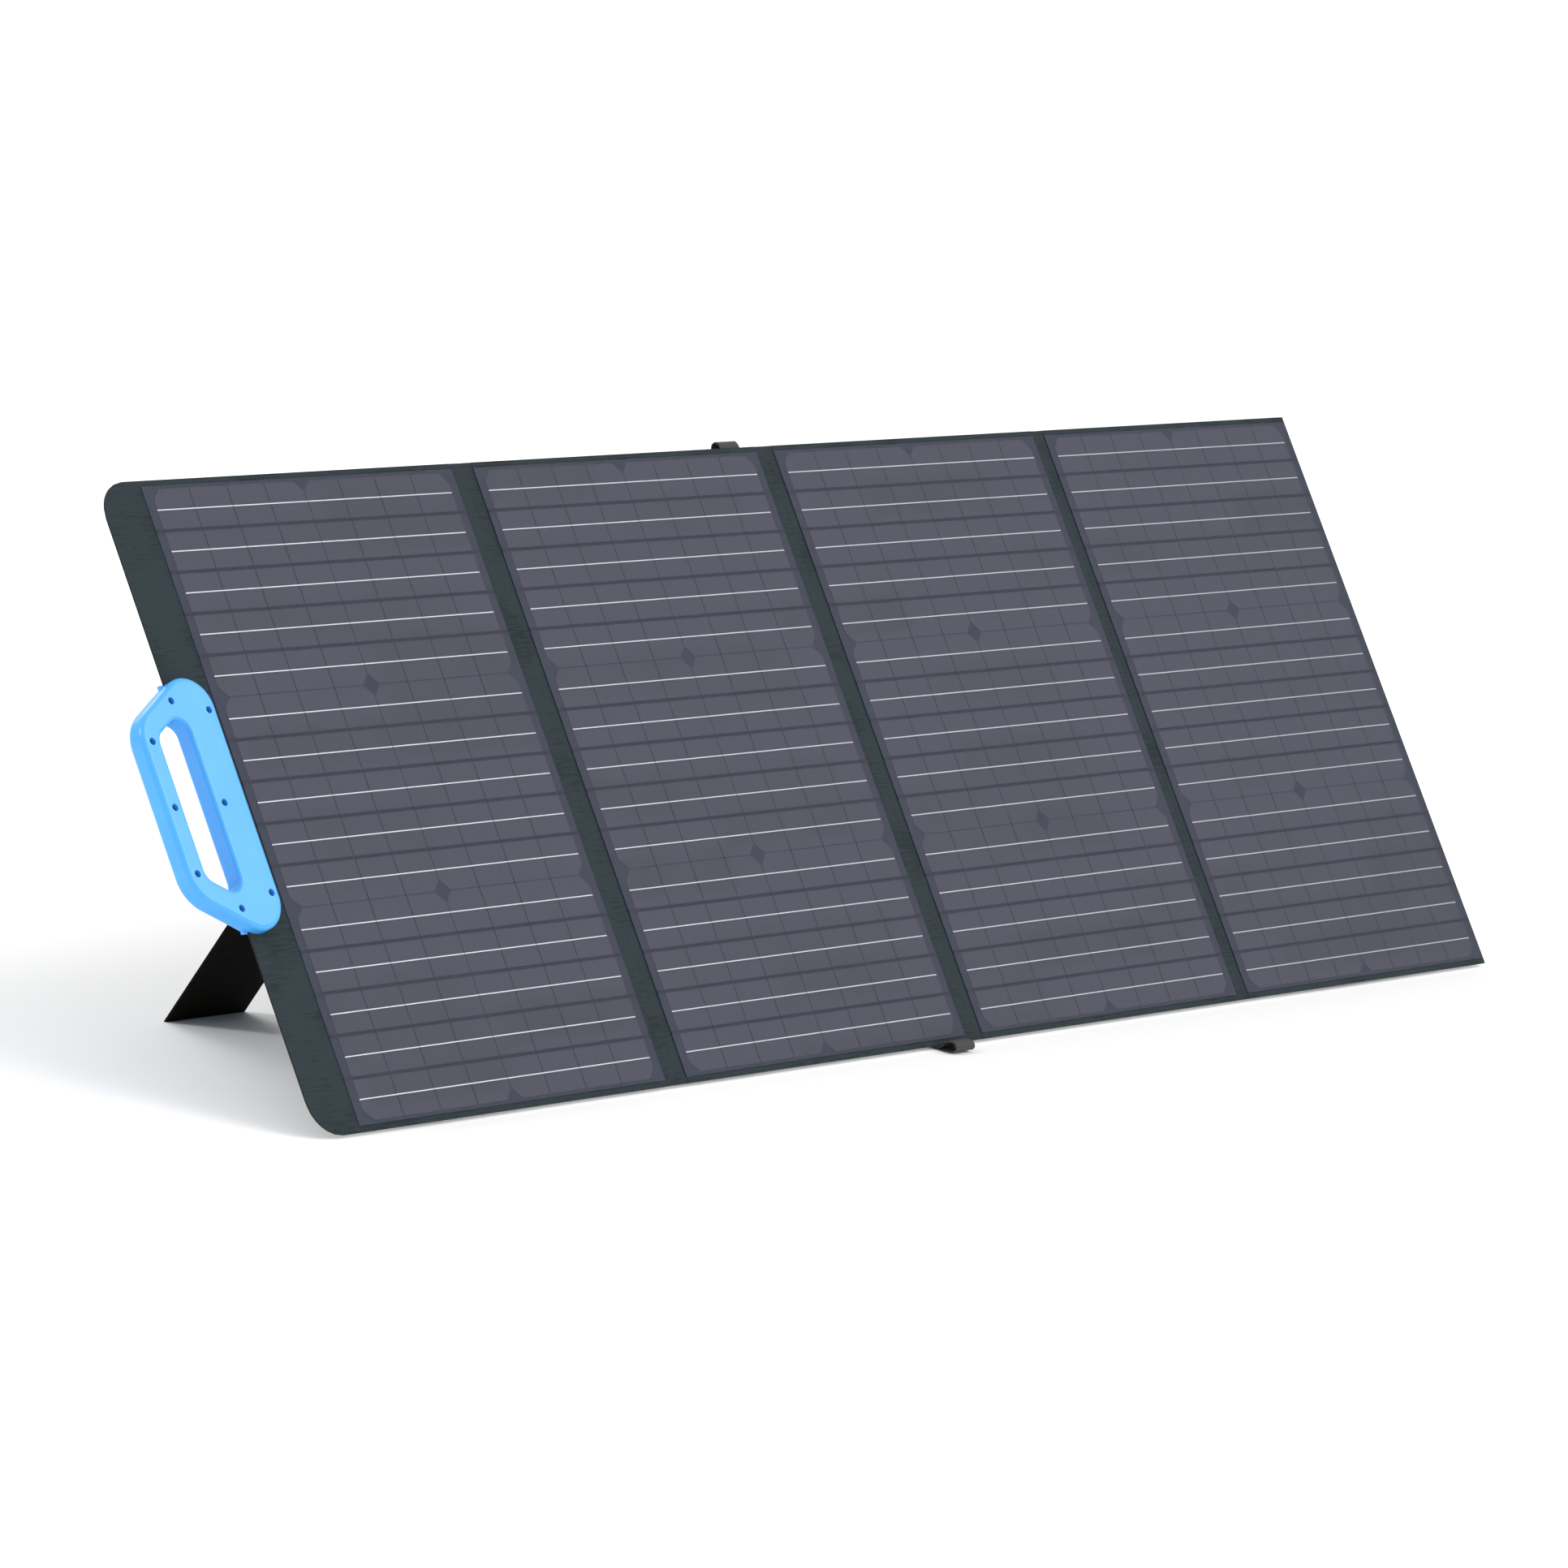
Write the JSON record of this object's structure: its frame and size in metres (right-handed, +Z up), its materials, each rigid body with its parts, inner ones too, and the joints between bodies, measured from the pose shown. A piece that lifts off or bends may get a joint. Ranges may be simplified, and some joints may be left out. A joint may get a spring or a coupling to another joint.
{
  "type": "folding solar panel",
  "caption": "Folding solar panel: stiff cell panels in one cloth sheet that rolls up front to front, with a moulded carry handle at one end and fold-out legs behind.",
  "frame": {"origin": "middle of the footprint, on the floor, with the sheet open and leaning back on its legs", "axes": "+X along the sheet from the handle end to the far end, +Y away from the sunny side towards the legs, +Z up"},
  "size_m": [1.6154, 0.3506, 0.4516],
  "materials": {
    "clear_film": "satin",
    "tinned_ribbon": "bright",
    "silicon_cell": "satin",
    "backing_sheet": "matte",
    "stiffener_board": "matte",
    "cover_cloth": "woven",
    "handle_plastic": "satin",
    "handle_screw": "satin",
    "leg_board": "matte",
    "snap_metal": "satin",
    "webbing": "woven",
    "box_screw": "satin",
    "diode": "gloss",
    "box_plastic": "matte",
    "gland_plastic": "satin",
    "zip_metal": "satin"
  },
  "bodies": {
    "panel_2": {"panel_2_front_film": "clear_film", "panel_2_ribbons": "tinned_ribbon", "panel_2_cells": "silicon_cell", "panel_2_backing_sheet": "backing_sheet", "panel_2_front_cloth": "cover_cloth", "panel_2_stiffener_board": "stiffener_board", "panel_2_back_cloth": "cover_cloth", "fold_cloth_1_2": "cover_cloth", "fold_cloth_2_3": "cover_cloth", "top_strap_loop": "webbing", "bottom_strap_loop": "webbing", "junction_box_base": "box_plastic", "junction_box_lid": "box_plastic", "junction_box_screws": "box_screw", "junction_box_diodes": "diode", "cable_gland": "gland_plastic", "lead_pocket": "cover_cloth"},
    "panel_1": {"panel_1_front_film": "clear_film", "panel_1_ribbons": "tinned_ribbon", "panel_1_cells": "silicon_cell", "panel_1_backing_sheet": "backing_sheet", "panel_1_front_cloth": "cover_cloth", "panel_1_stiffener_board": "stiffener_board", "panel_1_back_cloth": "cover_cloth", "handle_front_shell": "handle_plastic", "handle_back_shell": "handle_plastic", "handle_screws": "handle_screw", "left_leg_hinge_cloth": "cover_cloth", "left_leg_snap_stud": "snap_metal"},
    "panel_3": {"panel_3_front_film": "clear_film", "panel_3_ribbons": "tinned_ribbon", "panel_3_cells": "silicon_cell", "panel_3_backing_sheet": "backing_sheet", "panel_3_front_cloth": "cover_cloth", "panel_3_stiffener_board": "stiffener_board", "panel_3_back_cloth": "cover_cloth", "fold_cloth_3_4": "cover_cloth"},
    "panel_4": {"panel_4_front_film": "clear_film", "panel_4_ribbons": "tinned_ribbon", "panel_4_cells": "silicon_cell", "panel_4_backing_sheet": "backing_sheet", "panel_4_front_cloth": "cover_cloth", "panel_4_stiffener_board": "stiffener_board", "panel_4_back_cloth": "cover_cloth", "right_leg_hinge_cloth": "cover_cloth", "right_leg_snap_stud": "snap_metal"},
    "left_leg": {"left_leg_board": "leg_board", "left_leg_snap_socket": "snap_metal", "left_leg_limit_strap": "webbing"},
    "right_leg": {"right_leg_board": "leg_board", "right_leg_snap_socket": "snap_metal", "right_leg_limit_strap": "webbing"},
    "top_strap_end": {"top_strap_tab": "webbing", "top_strap_snap": "snap_metal"},
    "bottom_strap_end": {"bottom_strap_tab": "webbing", "bottom_strap_snap": "snap_metal"},
    "zip_slider": {"pocket_zip_slider": "zip_metal"}
  },
  "joints": [
    {"name": "fold_1_2", "type": "hinge", "parent": "panel_2", "child": "panel_1", "pos_m": [-0.329, -0.01581, 0.2315], "axis": [0, 0.5592, 0.829], "range_deg": [0, 179.9], "deforming": ["fold_cloth_1_2"]},
    {"name": "fold_2_3", "type": "hinge", "parent": "panel_2", "child": "panel_3", "pos_m": [0.05155, -0.01353, 0.22997], "axis": [0, -0.5592, -0.829], "range_deg": [0, 179.9], "deforming": ["fold_cloth_2_3"]},
    {"name": "fold_3_4", "type": "hinge", "parent": "panel_3", "child": "panel_4", "pos_m": [0.43565, -0.01022, 0.22773], "axis": [0, -0.5592, -0.829], "range_deg": [0, 179.9], "deforming": ["fold_cloth_3_4"]},
    {"name": "left_leg_fold", "type": "hinge", "parent": "panel_1", "child": "left_leg", "pos_m": [-0.52835, 0.01692, 0.25647], "axis": [-1, 0, 0], "range_deg": [0, 65.5], "deforming": ["left_leg_limit_strap", "left_leg_hinge_cloth"]},
    {"name": "right_leg_fold", "type": "hinge", "parent": "panel_4", "child": "right_leg", "pos_m": [0.62215, 0.01692, 0.25647], "axis": [-1, 0, 0], "range_deg": [0, 65.5], "deforming": ["right_leg_limit_strap", "right_leg_hinge_cloth"]},
    {"name": "top_strap_swing", "type": "hinge", "parent": "panel_2", "child": "top_strap_end", "pos_m": [0.0156, 0.12207, 0.4111], "axis": [1, 0, 0], "range_deg": [0, 120]},
    {"name": "bottom_strap_swing", "type": "hinge", "parent": "panel_2", "child": "bottom_strap_end", "pos_m": [0.0156, -0.13068, 0.03638], "axis": [-1, 0, 0], "range_deg": [0, 110]},
    {"name": "zip_slide", "type": "slide", "parent": "panel_2", "child": "zip_slider", "axis": [1, 0, 0], "range_m": [0, 0.19]}
  ]
}
